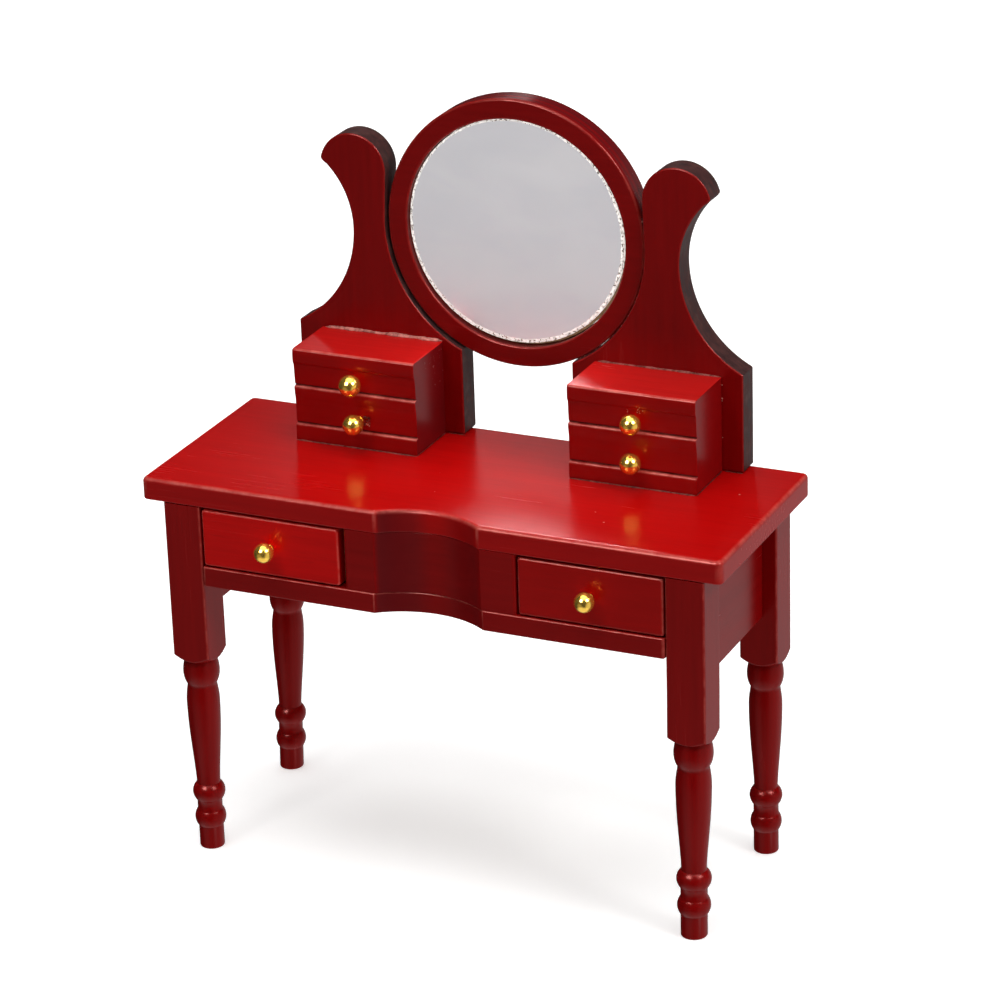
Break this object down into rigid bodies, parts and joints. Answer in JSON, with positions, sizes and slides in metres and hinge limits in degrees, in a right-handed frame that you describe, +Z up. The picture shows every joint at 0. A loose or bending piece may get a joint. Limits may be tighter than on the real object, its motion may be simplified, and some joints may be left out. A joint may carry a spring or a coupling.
{
  "type": "miniature dressing table",
  "caption": "Dolls-house dressing table: turned legs, sliding drawers with ball knobs, small moulded cabinets and a round mirror that tilts between scrolled uprights.",
  "frame": {"origin": "on the ground under the middle of the object's bounding box", "axes": "+Z up, -Y towards the sitter, +X to the sitter's right"},
  "size_m": [0.1008, 0.0438, 0.1252],
  "materials": {
    "red_lacquer": "satin-gloss red mahogany stain under lacquer, fine grain, worn pink along the edges",
    "dark_red_lacquer": "the same stain, darker, with brown sawn edges",
    "bare_wood": "plain sanded light wood",
    "brass": "polished",
    "mirror": "silvered sheet with a bright cut edge"
  },
  "bodies": {
    "table": {"tabletop": "red_lacquer", "centre_block": "red_lacquer", "front_rail": "red_lacquer", "side_apron_left": "red_lacquer", "side_apron_right": "red_lacquer", "back_apron": "red_lacquer", "drawer_shelf": "bare_wood", "drawer_guide_left": "bare_wood", "drawer_guide_right": "bare_wood", "leg_front_left": "red_lacquer", "leg_front_right": "red_lacquer", "leg_rear_left": "red_lacquer", "leg_rear_right": "red_lacquer", "cabinet_left": "red_lacquer", "cabinet_left_knob_upper": "brass", "cabinet_left_knob_lower": "brass", "cabinet_right": "red_lacquer", "cabinet_right_knob_upper": "brass", "cabinet_right_knob_lower": "brass", "upright_left": "dark_red_lacquer", "upright_right": "dark_red_lacquer"},
    "drawer_left": {"drawer_left_front": "red_lacquer", "drawer_left_wall_left": "bare_wood", "drawer_left_wall_right": "bare_wood", "drawer_left_back": "bare_wood", "drawer_left_bottom": "bare_wood", "drawer_left_knob": "brass"},
    "drawer_right": {"drawer_right_front": "red_lacquer", "drawer_right_wall_left": "bare_wood", "drawer_right_wall_right": "bare_wood", "drawer_right_back": "bare_wood", "drawer_right_bottom": "bare_wood", "drawer_right_knob": "brass"},
    "mirror": {"mirror_frame": "dark_red_lacquer", "mirror_glass": "mirror", "mirror_back": "bare_wood", "pivot_pin_left": "brass", "pivot_pin_right": "brass"}
  },
  "joints": [
    {"name": "drawer_left_slide", "type": "slide", "parent": "table", "child": "drawer_left", "axis": [0, -1, 0], "range_m": [0, 0.021]},
    {"name": "drawer_right_slide", "type": "slide", "parent": "table", "child": "drawer_right", "axis": [0, -1, 0], "range_m": [0, 0.021]},
    {"name": "mirror_tilt", "type": "hinge", "parent": "table", "child": "mirror", "pos_m": [0.0012, 0.01963, 0.10265], "axis": [1, 0, 0], "continuous": true}
  ]
}
